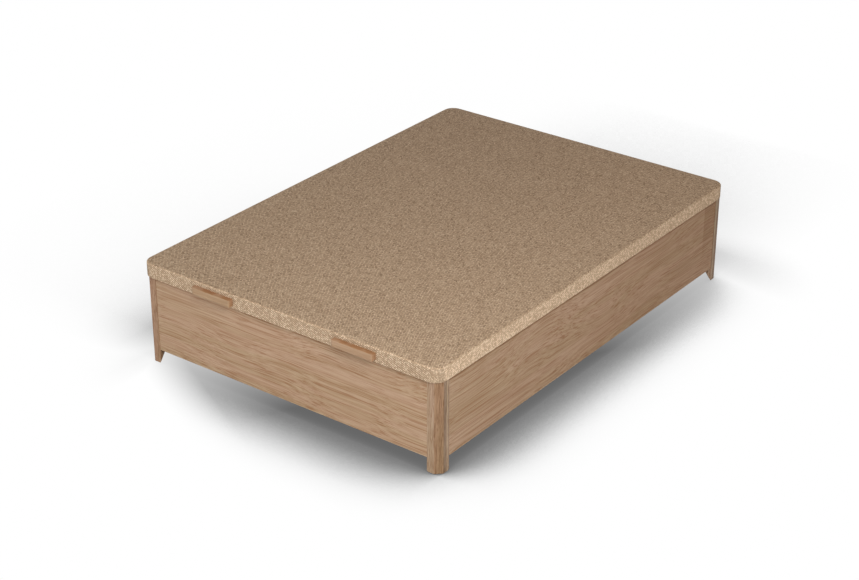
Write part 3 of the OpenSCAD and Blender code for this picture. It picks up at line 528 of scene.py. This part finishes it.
@dataclass
class PaddedLid:
    """The lid: its cloth cover over foam, and the board and steel frame under them."""

    corner_radius: float = 0.048
    edge_radius: float = 0.006
    crown: float = 0.001
    cloth: float = 0.0015
    side_pad: float = 0.004
    turned_under: float = 0.041
    hem: float = 0.003
    foam_gap: float = 0.0001
    cell: float = 0.024
    puff_cap: float = 0.0016
    corner_steps: int = 10
    frames: int = 20
    box: np.ndarray = field(default_factory=lambda: np.array(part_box("lid_cover")))

    @property
    def core(self) -> tuple[float, float]:
        """Half the sides of the rectangle through the centres of the lid's corner arcs."""
        return tuple(float(side) - self.corner_radius for side in self.box[1][:2])

    def perimeter(self) -> tuple[np.ndarray, np.ndarray]:
        """Walks once round the lid, anticlockwise seen from above.

        Returns:
            Places on the core rectangle, and the outward direction at each. The place moves
            along a side, and the direction turns round a corner.
        """
        corners = np.array([(1, 1), (-1, 1), (-1, -1), (1, -1)]) * self.core
        feet, ways = [], []
        for k in range(4):
            turn = np.pi / 2 * (k + np.linspace(0, 1, self.corner_steps + 1))
            way = arc(turn)
            share = np.linspace(0, 1, self.cells[k % 2] + 1)[1:-1, None]
            side = corners[k] * (1 - share) + corners[(k + 1) % 4] * share
            feet += [np.tile(corners[k], (len(turn), 1)), side]
            ways += [way, np.tile(way[-1], (len(share), 1))]
        return np.concatenate(feet), np.concatenate(ways)

    @property
    def cells(self) -> tuple[int, int]:
        """Numbers of cells across the core and along it."""
        return tuple(round(2 * half / self.cell) for half in self.core)

    def outer_line(self) -> np.ndarray:
        """Gives the outside of the cover's section, from the core out, down and under.

        Returns:
            Rows of distance from the core, height and length along the cloth. The top falls
            with the square of the distance, and the edge and hem are quarter rounds.
        """
        low, high = self.box[0][2], self.box[1][2]
        full, round_edge, hem = self.corner_radius, self.edge_radius, self.hem
        brim, centre = full - round_edge, high - self.crown - round_edge
        out = np.linspace(0, brim, 5)
        top = np.column_stack([out, high - self.crown * (out / brim) ** 2])
        turn = np.radians(np.linspace(90, 0, 7))[1:]
        edge = arc(turn, round_edge, (brim, centre))
        side = np.column_stack([np.full(5, full), np.linspace(centre, low + hem, 7)[1:-1]])
        turn = np.radians(np.linspace(0, -90, 5))
        under = arc(turn, hem, (full - hem, low + hem))
        inner = np.linspace(full - hem, full - self.turned_under, 5)[1:]
        flat = np.column_stack([inner, np.full(4, low)])
        line = np.concatenate([top, edge, side, under, flat])
        run = np.concatenate([[0], np.cumsum(np.linalg.norm(np.diff(line, axis=0), axis=1))])
        return np.column_stack([line, run])

    def inner_line(self, gap: float = 0.0) -> np.ndarray:
        """Gives the inside of the cover's section, or a line that far inside it, point for point.

        Wadding thickens the cloth on the sides.
        """
        outer = self.outer_line()
        limit = self.corner_radius - self.side_pad - gap
        inset, hem_top = self.cloth + gap, self.box[0][2] + self.cloth
        along = np.gradient(outer[:, :2], axis=0)
        along /= np.linalg.norm(along, axis=1)[:, None]
        inward = np.column_stack([along[:, 1], -along[:, 0]])
        line = outer[:, :2] + inset * inward
        line[0] = (0.0, outer[0, 1] - inset)
        line[:, 0] = np.minimum(line[:, 0], limit)
        line[:, 1] = np.maximum(line[:, 1], hem_top)
        line[-1] = (outer[-1, 0], hem_top)
        return np.column_stack([line, outer[:, 2]])

    def skin(self, line: np.ndarray, flip: bool) -> tuple[np.ndarray, np.ndarray, np.ndarray]:
        """Carries a section round the lid and closes it with a grid over the core.

        Returns:
            Points, quads that may be flipped to look inwards, and each point's flat place on
            the cloth, which is the core's place plus the length run outwards.
        """
        feet, ways = self.perimeter()
        out, height, run = line.T[..., None, None]
        ring = feet + out * ways
        rim = np.concatenate([ring, height + 0 * ring[..., :1]], axis=2).reshape(-1, 3)
        rim_flat = (feet + run * ways).reshape(-1, 2)
        x, y = np.meshgrid(*(np.linspace(-half, half, steps + 1)
                             for half, steps in zip(self.core, self.cells)))
        middle = np.column_stack([x.ravel(), y.ravel(), np.full(x.size, line[0, 1])])
        rim_quads = grid_quads(len(line), len(feet), closed=True)[:, ::-1]
        middle_quads = grid_quads(*x.shape) + len(rim)
        quads = np.concatenate([rim_quads, middle_quads])
        if flip:
            quads = quads[:, ::-1]
        return np.concatenate([rim, middle]), quads, np.concatenate([rim_flat, middle[:, :2]])

    def puff(self, points: np.ndarray, quads: np.ndarray) -> np.ndarray:
        """Lets the cloth settle over the foam with a short cloth simulation.

        The rim is pinned below its rounded edge, and the rest is pressed up from inside by
        no more than the cap.

        Returns:
            How far each point of the outer skin moves.
        """
        kept, becomes, faces = join_points(points, quads)
        joined = points[kept]
        trial = new_piece("cloth_trial", joined, faces, bpy.data.materials.new("cloth_trial"))
        pinned = joined[:, 2] < self.box[1][2] - self.crown - self.edge_radius
        group = trial.vertex_groups.new(name="pinned")
        group.add(np.flatnonzero(pinned).tolist(), 1.0, "REPLACE")
        cloth = trial.modifiers.new("cloth", "CLOTH")
        for setting, value in {
            "vertex_group_mass": "pinned", "use_pressure": True, "uniform_pressure_force": 1.2,
            "quality": 4, "mass": 0.4, "tension_stiffness": 60, "compression_stiffness": 60,
            "bending_stiffness": 4,
        }.items():
            setattr(cloth.settings, setting, value)
        cloth.settings.effector_weights.gravity = 0.0
        cloth.point_cache.frame_start, cloth.point_cache.frame_end = 1, self.frames
        for number in range(1, self.frames + 1):
            bpy.context.scene.frame_set(number)
        settled = trial.evaluated_get(bpy.context.evaluated_depsgraph_get()).to_mesh()
        moved = read(settled.vertices, "co", 3) - joined
        bpy.context.scene.frame_set(1)
        bpy.data.objects.remove(trial)
        length = np.linalg.norm(moved, axis=1, keepdims=True)
        LOG.info("cloth rose by %.2f mm at most before its cap", 1000 * length.max())
        moved *= self.puff_cap / np.maximum(length.max(), self.puff_cap)
        return moved[becomes]

    def cover(self, material: Material) -> Object:
        """Builds the cloth cover as one closed shell, turned under at the hem."""
        outer, outer_quads, outer_flat = self.skin(self.outer_line(), flip=False)
        inner, inner_quads, inner_flat = self.skin(self.inner_line(), flip=True)
        rise = self.puff(outer, outer_quads)
        steps = len(self.perimeter()[0])
        last = np.arange(steps) + (len(self.outer_line()) - 1) * steps
        after = np.roll(last, -1)
        hem = np.column_stack([after, after + len(outer), last + len(outer), last])
        points = np.concatenate([outer + rise, inner + rise])
        flat = np.concatenate([outer_flat, inner_flat])
        quads = np.concatenate([outer_quads, inner_quads + len(outer), hem])
        return self.cloth_piece("cover_padded", points, quads, flat, material)

    def cloth_piece(self, name: str, points: np.ndarray, quads: np.ndarray, flat: np.ndarray,
                    material: Material) -> Object:
        """Makes a piece with each point's flat place on the cloth, and subdivides it once."""
        kept, _, faces = join_points(points, quads)
        piece = new_piece(name, points[kept], faces, material)
        corners = read(piece.data.loops, "vertex_index", 1, np.int32).ravel()
        layer = piece.data.uv_layers.new(name="cloth")
        layer.data.foreach_set("uv", flat[kept][corners].astype(np.float32).ravel())
        smoother = piece.modifiers.new("round", "SUBSURF")
        smoother.levels = smoother.render_levels = 1
        return piece

    def foam(self, material: Material) -> Object:
        """Builds the foam sheet as a crowned slab that fills the cover down to the board."""
        board_top = float(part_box("lid_foam")[0][2])
        line = self.inner_line(self.foam_gap)
        line = line[line[:, 1] > board_top]
        line = np.vstack([line, [line[-1, 0], board_top, line[-1, 2]]])
        upper, upper_quads, _ = self.skin(line, flip=False)
        lower_line = np.array([[line[-1, 0], board_top, 0.0], [0.0, board_top, 0.0]])[::-1]
        lower, lower_quads, _ = self.skin(lower_line, flip=True)
        points = np.concatenate([upper, lower])
        quads = np.concatenate([upper_quads, lower_quads + len(upper)])
        kept, _, faces = join_points(points, quads)
        return new_piece("foam_sheet", points[kept], faces, material, smooth=False)

    def build(self) -> None:
        """Builds the cover and the foam and dresses the board and the frame."""
        cover = self.cover(WEAVE.make())
        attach(cover, "lid")
        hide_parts("lid_cover")
        foam = self.foam(FOAM.make())
        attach(foam, "lid")
        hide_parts("lid_foam")
        dress(PLYWOOD.make(Grain.ALONG_Y, 3.7), "lid_board")
        steel = BLACK_STEEL.make()
        dress(steel, *(f"lid_tube_{side}" for side in ("foot", "head", "left", "right")))
        dress(steel, *(f"lid_cross_tube_{place}" for place in ("foot", "middle", "head")))
        dress(BLACK_PLASTIC.make(), "lid_corners")
        LOG.info("lid: %d cover faces", len(cover.data.polygons))


@dataclass
class Box:
    """The panelled box: its posts, panels, cleats, floor and legs."""

    post_seed: float = 11.0
    panel_seed: float = 5.0
    # Painted shade on the posts' chamfers.
    chamfer_painted_shade: Colour = (0.76, 0.67, 0.57)
    # Painted light on the raked cuts at the legs' feet, which face down into shade.
    cut_painted_light: Colour = (1.75, 1.72, 1.70)
    cut_slope: tuple[float, float] = (-0.95, -0.2)
    flank: tuple[float, float] = (0.8851, 0.9167)
    # Painted shade on the posts' side faces, with a pale line near their edge.
    flank_painted_shades: tuple[tuple[float, Colour], ...] = (
        (0.20, (0.82, 0.80, 0.79)), (0.28, (1.16, 1.20, 1.22)), (0.40, (1.16, 1.20, 1.22)),
        (0.50, (0.80, 0.79, 0.79)), (0.66, (0.70, 0.68, 0.67)),
    )
    left_brown: Colour = (0.88, 0.79, 0.74)
    # Painted shade that grows towards the head on the right panel.
    head_panel_painted_shade: Colour = (0.93, 0.855, 0.78)
    # Painted shadow of the lid's overhang along the panels' upper edge.
    lid_shadow_band: tuple[float, float] = (0.3455, 0.3500)
    lid_shadow_brown: Colour = (0.68, 0.57, 0.46)
    leaf_brown: Colour = (0.80, 0.72, 0.63)
    leaf_edge: tuple[float, float] = (0.80, 0.806)
    leaf_fade: tuple[float, float] = (0.10, 0.27)
    hatch_slant: tuple[float, float] = (60.0, -110.0)

    def facets(self, sheet: ShaderSheet, colour: Socket) -> Socket:
        """Paints shade on a post's chamfers as a browner colour, light on its raked cuts as a paler
        colour, and shade on its side faces as grey, with a pale line near their edge.
        """
        across, along, up = sheet.axes("Normal")
        steepest, flattest = self.cut_slope
        cut = sheet.times(sheet.math("LESS_THAN", up, flattest), sheet.above(up, steepest))
        across, along = sheet.absolute(across), sheet.absolute(along)
        chamfer = sheet.ramp(sheet.times(across, along), (0.1, 0), (0.35, 1))
        edge = sheet.within(sheet.absolute(sheet.axes()[1]), *self.flank)
        # Painted shade on the chamfers, painted light on the raked cuts, painted shade on the side
        # faces.
        colour = sheet.tinted(colour, self.chamfer_painted_shade, chamfer)
        colour = sheet.tinted(colour, self.cut_painted_light, cut)
        return sheet.tinted(colour, sheet.ramp(edge, *self.flank_painted_shades), sheet.above(across, 0.9))

    def brown_facets(self, sheet: ShaderSheet, colour: Socket) -> Socket:
        """Gives the left foot post, cut from a browner plank, the painted shade and light of its
        chamfers, raked cuts and side faces.
        """
        return self.facets(sheet, sheet.tinted(colour, self.left_brown))

    def painted_lid_shadow(self, sheet: ShaderSheet, colour: Socket) -> Socket:
        """Paints the lid's shadow as a darker band along a panel's upper edge, under the lid's
        overhang.
        """
        # Painted shadow under the lid's overhang.
        return sheet.tinted(colour, self.lid_shadow_brown, sheet.within(sheet.axes()[2], *self.lid_shadow_band))

    def head_shade_and_veneer_leaf(self, sheet: ShaderSheet, colour: Socket) -> Socket:
        """Paints the lid's shadow along the right panel's upper edge and shade that grows browner
        and darker towards the head, and darkens the last leaf of its veneer.

        Hatched pores on that leaf fade downwards.
        """
        _, along, up = sheet.axes()
        colour = self.painted_lid_shadow(sheet, colour)
        # Painted shade, browner and darker towards the head.
        colour = sheet.tinted(colour, self.head_panel_painted_shade, sheet.within(along, -0.9, 0.9))
        leaf = sheet.times(sheet.within(along, *self.leaf_edge), sheet.within(up, *self.leaf_fade))
        slant = sheet.scaled(along, self.hatch_slant[0], sheet.times(up, self.hatch_slant[1]))
        hatch = sheet.noise(sheet.combine(slant, sheet.times(along, 9.0)), detail=1.0)
        leaf = sheet.times(leaf, sheet.scaled(hatch, 1.4, 0.2))
        return sheet.tinted(colour, self.leaf_brown, leaf)

    def build(self) -> None:
        """Dresses every piece of the box."""
        for number, place in enumerate(("foot_left", "foot_right", "head_left", "head_right")):
            tint = self.brown_facets if place == "foot_left" else self.facets
            seed = self.post_seed + 3.1 * number
            dress(OAK_POST.make(Grain.ALONG_Z, seed, tint), f"post_{place}")
        across, along = Grain.ALONG_X, Grain.ALONG_Y
        for place, grain, seed, tint in (
            ("foot", across, 0.0, self.painted_lid_shadow), ("head", across, 4.3, self.painted_lid_shadow),
            ("right", along, 9.7, self.head_shade_and_veneer_leaf), ("left", along, 14.0, self.painted_lid_shadow),
        ):
            dress(OAK_PANEL.make(grain, self.panel_seed + seed, tint), f"panel_{place}")
        dress(PINE.make(across, 2.0), "cleat_foot", "cleat_head")
        dress(PINE.make(along, 6.0), "cleat_left", "cleat_right")
        dress(HARDBOARD.make(across, 1.0), "floor_board_foot", "floor_board_head")
        dress(BEECH.make(across, 1.0), "dowels")
        steel = BLACK_STEEL.make()
        for place in ("foot", "middle", "head"):
            dress(steel, f"cross_bar_{place}", f"centre_leg_{place}")
        dress(BLACK_PLASTIC.make(), "centre_feet")
        dress(GLIDE_PLASTIC.make(), "leg_glides")
        dress(ZINC.make(), "cam_discs", "cam_bolts")
        LOG.info("box dressed")


@dataclass
class Pulls:
    """The two wooden pulls on the foot side of the lid."""

    seed: float = 2.5
    # Colour of the end grain, also used as painted shade on the top.
    end_grain_and_shade_brown: Colour = (0.78, 0.60, 0.44)
    # Depth of the ragged band of painted shade below the top.
    band: float = 0.004
    end_share: float = 0.55
    facing: float = 0.6

    def end_grain_and_painted_shade(self, sheet: ShaderSheet, colour: Socket) -> Socket:
        """Makes a pull's ends orange-brown as end grain, and paints shade in the same orange-brown
        on its top and, raggedly, just below the top where it meets the lid's cloth.
        """
        across, _, up = sheet.axes("Normal")
        # Ends: end grain. Top and the ragged band just below it: painted shade.
        ends = sheet.times(sheet.above(sheet.absolute(across), self.facing), self.end_share)
        above = sheet.above(up, self.facing)
        top = float(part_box("pull_left")[1][2])
        ragged = sheet.noise(sheet.place(), 90.0, 2.0, 0.6)
        ragged = sheet.scaled(ragged, 2.0 * self.band, -self.band)
        upper = sheet.above(sheet.plus(sheet.axes()[2], ragged), top - 0.3 * self.band)
        patchy = sheet.ramp(sheet.noise(sheet.place(), 22.0), (0.38, 0.35), (0.55, 1))
        share = sheet.most(ends, sheet.times(patchy, sheet.most(above, upper)))
        return sheet.tinted(colour, self.end_grain_and_shade_brown, share)

    def build(self) -> None:
        """Dresses the pulls, each with its own stretch of grain."""
        for number, name in enumerate(("pull_left", "pull_right")):
            dress(OAK_PULL.make(Grain.ALONG_X, self.seed + 1.9 * number, self.end_grain_and_painted_shade), name)
        LOG.info("pulls dressed")


def loose_solids(node: str) -> list[np.ndarray]:
    """Splits a CAD node's points into its separate solids.

    Every point takes the lowest number that one of its edges leads to, until none changes.
    """
    mesh = frame["nodes"][node].data
    points = read(mesh.vertices, "co", 3)
    _, spot = np.unique(spots(points, 10 * SAME_PLACE), axis=0, return_inverse=True)
    spot = spot.reshape(-1)
    ends = spot[read(mesh.edges, "vertices", 2, np.int32)]
    label = np.arange(spot.max() + 1)
    settled = False
    while not settled:
        lower = label.copy()
        np.minimum.at(lower, ends[:, 0], label[ends[:, 1]])
        np.minimum.at(lower, ends[:, 1], label[ends[:, 0]])
        lower = lower[lower]
        settled = bool((lower == label).all())
        label = lower
    return [points[label[spot] == number] for number in np.unique(label)]


@dataclass
class Screws:
    """The cross-recess screws of one CAD node, pan or countersunk, in place of its plain solids."""

    node: str
    head_depth: float
    pan: bool = False
    arm: float = 0.62
    slot_width: float = 0.17
    recess: float = 0.0014
    pitch: float = 0.0022
    root: float = 0.78
    tip: float = 0.004
    sharp: float = math.radians(38)

    def turns(self) -> np.ndarray:
        """Gives the angles of the columns: each arm's middle, corners and the notches between."""
        corner = math.degrees(math.atan2(self.slot_width, self.arm))
        quarter = np.array([0.0, corner, 30.0, 45.0, 60.0, 90.0 - corner])
        return np.radians(np.concatenate([quarter + 90.0 * k for k in range(4)]))

    def cross(self, turn: np.ndarray, head: float) -> np.ndarray:
        """Gives the recess's rim at each angle, for a head's radius: the farther of two bars."""
        cosine = np.maximum(np.abs(np.cos(turn)), 1e-9)
        sine = np.maximum(np.abs(np.sin(turn)), 1e-9)
        arm, half = self.arm * head, self.slot_width * head
        bars = (np.minimum(arm / a, half / b) for a, b in ((cosine, sine), (sine, cosine)))
        return np.maximum(*bars)

    def rows(self, head: float, shank: float, length: float) -> tuple[np.ndarray, np.ndarray]:
        """Gives a screw's surface from the middle of its recess out, down the shank and to its tip.

        A pan head falls with the square of the distance from its axis. A ridge stands at
        every pitch.

        Args:
            head: radius of the head.
            shank: radius of the ridges.
            length: length of the screw.

        Returns:
            Distances from the axis and depths below the head's face, row by row.
        """
        fall = 0.4 * self.head_depth * self.pan
        ridges = np.arange(self.head_depth, length - self.tip, self.pitch / 2)
        shanks = np.where(np.arange(len(ridges)) % 2, self.root * shank, shank)
        line = [(0.8 * head, 0.64 * fall), (0.96 * head, 0.9216 * fall), (head, fall + 0.0002),
                *[(head, self.head_depth)] * self.pan, *zip(shanks, ridges),
                (0.5 * shank, length - 0.4 * self.tip), (0.0, length)]
        rim = self.cross(self.turns(), head)
        even = np.ones_like(rim)
        radii = [0.0 * rim, 0.7 * rim, rim, *(radius * even for radius, _ in line)]
        depths = [self.recess * even, 0.85 * self.recess * even, fall * (rim / head) ** 2,
                  *(depth * even for _, depth in line)]
        return np.array(radii), np.array(depths)

    def build(self, material: Material) -> None:
        """Builds the node's screws as one piece on the node's body."""
        all_points, all_faces = [], []
        turn = self.turns()
        for solid in loose_solids(self.node):
            low, high = solid.min(axis=0), solid.max(axis=0)
            middle = (low + high) / 2
            axis = int(np.argmax(high - low))
            side = [i for i in range(3) if i != axis]
            away = np.linalg.norm(solid[:, side] - middle[side], axis=1)
            at_low = away[solid[:, axis] < low[axis] + 1e-5].max()
            at_high = away[solid[:, axis] > high[axis] - 1e-5].max()
            outward = -1.0 if at_low > at_high else 1.0
            face = low[axis] if outward < 0 else high[axis]
            length = float(high[axis] - low[axis])
            radii, depths = self.rows(max(at_low, at_high), min(at_low, at_high), length)
            first, second = ((axis + 1) % 3, (axis + 2) % 3)[::int(outward)]
            points = np.empty((*radii.shape, 3))
            points[..., axis] = face - outward * depths
            points[..., first] = middle[first] + radii * np.cos(turn)
            points[..., second] = middle[second] + radii * np.sin(turn)
            quads = grid_quads(*radii.shape, closed=True)[:, ::-1]
            all_faces.append(quads + len(all_points) * radii.size)
            all_points.append(points.reshape(-1, 3))
        points = np.concatenate(all_points)
        kept, _, faces = join_points(points, np.concatenate(all_faces))
        piece = new_piece(f"{self.node}_cross_recess", points[kept], faces, material)
        piece.data.set_sharp_from_angle(angle=self.sharp)
        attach(piece, frame["nodes"][self.node].parent.name.split(":")[1])
        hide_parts(self.node)
        LOG.info("%s: %d screws, %d faces", self.node, len(all_points), len(faces))


@dataclass
class LiftMechanism:
    """Butt hinges and gas struts, and the screws that hold them and the pulls."""

    screws: tuple[Screws, ...] = (
        Screws("hinge_screws_box", 0.0024),
        Screws("hinge_screws_lid", 0.0024),
        Screws("strut_screws_box", 0.002, pan=True),
        Screws("strut_screws_lid", 0.002, pan=True),
        Screws("pull_screws", 0.003, pan=True, pitch=0.003, recess=0.002),
    )

    def build(self) -> None:
        """Dresses the hinges, the struts and their brackets and clips."""
        zinc = ZINC.make()
        for place in ("left", "middle", "right"):
            dress(zinc, f"hinge_leaf_box_{place}", f"hinge_leaf_lid_{place}")
        dress(zinc, "hinge_pins", "strut_clips_box", "strut_clips_lid")
        steel, enamel, rod = BLACK_STEEL.make(), STRUT_PAINT.make(), ROD.make()
        for side in ("left", "right"):
            dress(steel, f"strut_bracket_box_{side}", f"strut_bracket_lid_{side}")
            dress(enamel, f"strut_cylinder_{side}")
            dress(rod, f"strut_rod_{side}")
        for group in self.screws:
            group.build(zinc)
        LOG.info("lift mechanism dressed")


@dataclass
class Studio:
    """Camera, floor, world and lamps."""

    focal_pixels: float = 1939.416
    picture_width: int = 859
    sensor: float = 36.0
    yaw: float = 0.6442132
    pitch: float = 0.4742516
    roll: float = 0.0017196
    eye: Place = (3.958583, -5.372291, 3.539468)
    middle: Place = (0.0, 0.0, 0.3)
    sky: float = 0.314
    floor_half: float = 30.0
    floor_drop: float = 0.0005
    reaches: tuple[tuple[float, int], ...] = ((0.42, 24), (1.4, 16))
    near_corner: tuple[float, float] = (0.67, -0.94)
    fade: tuple[float, float] = (0.893, 0.58)

    def hang(self, data: bpy.types.ID, place: Place, turn: Matrix) -> Object:
        """Puts a camera or lamp at a place, turned."""
        holder = bpy.data.objects.new(data.name, data)
        holder.matrix_world = Matrix.Translation(place) @ turn
        bpy.context.scene.collection.objects.link(holder)
        return holder

    def camera(self) -> None:
        """Sets the camera from its turn to the left, its tilt down and its roll."""
        turn = (Matrix.Rotation(self.yaw, 4, "Z")
                @ Matrix.Rotation(math.pi / 2 - self.pitch, 4, "X")
                @ Matrix.Rotation(self.roll, 4, "Z"))
        data = bpy.data.cameras.new("camera")
        data.sensor_width = self.sensor
        data.lens = self.focal_pixels * self.sensor / self.picture_width
        data.clip_end = 100.0
        bpy.context.scene.camera = self.hang(data, self.eye, turn)

    def seen(self, sheet: ShaderSheet) -> Socket:
        """Returns 1 for what the camera sees itself, in a reflection or through glass."""
        path = sheet.add("LightPath").outputs
        return sheet.most(path["Is Camera Ray"], path["Is Glossy Ray"], path["Is Transmission Ray"])

    def shadow(self, sheet: ShaderSheet) -> Socket:
        """Works out how much darker the floor is where the bed keeps the light off it.

        The shadow is deepest under the near corner and fades along the foot and the side,
        starting softly at the left foot post. It is thin past that post, and thin and long
        behind the head. Under the bed and along its hidden sides it is deep throughout.
        """
        x, y, _ = sheet.axes()
        near, far = (sheet.add("AmbientOcclusion", {"Distance": reach}, samples=count).outputs["AO"]
                     for reach, count in self.reaches)
        core = ((0.20, 0.865), (0.35, 0.845), (0.53, 0.80), (0.59, 0.71), (0.65, 0.60))
        foot_edge = ((0.72, 0.405), (0.775, 0.28), (0.82, 0.145), (0.90, 0.04), (0.96, 0.0))
        side_edge = ((0.72, 0.335), (0.775, 0.165), (0.82, 0.065), (0.90, 0.015), (0.96, 0.0))
        by_foot, by_side = (sheet.ramp(near, *core, *edge) for edge in (foot_edge, side_edge))
        deep = sheet.mix(sheet.within(x, 0.66, 0.76), by_foot, by_side)
        left = sheet.scaled(x, self.fade[0], 1.64 - self.near_corner[0] * self.fade[0])
        away = sheet.scaled(y, -self.fade[1], self.near_corner[1] * self.fade[1])
        fade = sheet.add("Clamp", {"Value": sheet.plus(left, away), "Min": 0.05}).outputs[0]
        under = sheet.times(sheet.within(x, 0.52, 0.42), sheet.within(y, -0.8, -0.7),
                            sheet.within(x, -0.76, -0.70))
        left_side = sheet.times(sheet.within(x, -0.60, -0.66), sheet.within(y, -0.6, -0.3))
        hidden = sheet.most(under, left_side)
        past_post = sheet.most(sheet.within(sheet.scaled(y, 1.94, x), -2.62, -2.25),
                               sheet.within(x, -0.62, -0.72))
        front = sheet.times(deep, sheet.most(fade, sheet.times(hidden, 0.85)), past_post)
        past_left = sheet.times(sheet.within(x, -0.6, -0.85), sheet.within(y, -1.0, -0.75))
        past = sheet.most(past_left, sheet.within(y, 0.9, 1.15))
        thin = sheet.times(sheet.math("SUBTRACT", 1.0, near), 2.2, past)
        behind = sheet.times(sheet.within(y, 1.0, 1.6), sheet.within(x, -1.0, -0.5),
                             sheet.within(x, 0.8, 0.1))
        closed = sheet.math("MINIMUM", sheet.times(sheet.math("SUBTRACT", 1.0, far), 4.0), 1.0)
        beside = sheet.times(sheet.scaled(closed, 0.38, -0.07), sheet.most(past_left, hidden))
        long = sheet.times(closed, sheet.most(behind, sheet.times(under, 0.4)))
        return sheet.most(front, thin, long, beside)

    def floor(self) -> None:
        """Lays the floor: white to the camera, darker where the bed keeps the light off it."""
        sheet = ShaderSheet("pale_floor")
        level = sheet.math("SUBTRACT", 1.0, self.shadow(sheet))
        shown = sheet.add("Emission", {"Color": sheet.combine(level, level, level)})
        paint = sheet.add("BsdfDiffuse", {"Color": (0.8, 0.8, 0.8, 1.0)})
        both = {0: self.seen(sheet), 1: paint.outputs[0], 2: shown.outputs[0]}
        sheet.add("OutputMaterial", {"Surface": sheet.add("MixShader", both).outputs[0]})
        corners = self.floor_half * np.array([(-1, -1, 0), (1, -1, 0), (1, 1, 0), (-1, 1, 0)])
        corners[:, 2] = -self.floor_drop
        new_piece("floor", corners, np.array([[0, 1, 2, 3]]), sheet.owner, smooth=False)

    def world(self) -> None:
        """Makes the world white to the camera and an even sky to everything else."""
        sheet = ShaderSheet("studio", "worlds")
        strength = sheet.scaled(self.seen(sheet), 1.0 - self.sky, self.sky)
        sky = sheet.add("Background", {"Color": (1.0, 1.0, 1.0, 1.0), "Strength": strength})
        sheet.add("OutputWorld", {"Surface": sky.outputs[0]})
        bpy.context.scene.world = sheet.owner

    def lamp(self, name: str, place: Place, size: float, power: float) -> None:
        """Hangs one square soft lamp of that side and power in watts, facing the bed's middle."""
        data = bpy.data.lights.new(name, "AREA")
        data.size, data.energy = size, power
        back = Vector(place) - Vector(self.middle)
        self.hang(data, place, back.to_track_quat("Z", "Y").to_matrix().to_4x4())

    def build(self) -> None:
        """Sets up the camera, the floor, the world and the lamps."""
        view = bpy.context.scene.view_settings
        view.view_transform = "Standard"
        self.camera()
        self.floor()
        self.world()
        self.lamp("key", (2.6, -2.6, 3.2), 2.0, 135.0)
        self.lamp("foot_fill", (-1.0, -3.4, 0.9), 2.0, 24.0)
        self.lamp("back_fill", (-3.0, 3.4, 0.55), 1.0, 55.0)
        LOG.info("studio set up")


def main() -> None:
    """Builds the studio and the bed's pieces, in order."""
    logging.basicConfig(level=logging.INFO, format="%(name)s: %(message)s")
    Studio().build()
    for part in (PaddedLid(), Box(), Pulls(), LiftMechanism()):
        part.build()


if __name__ == "__main__":
    main()
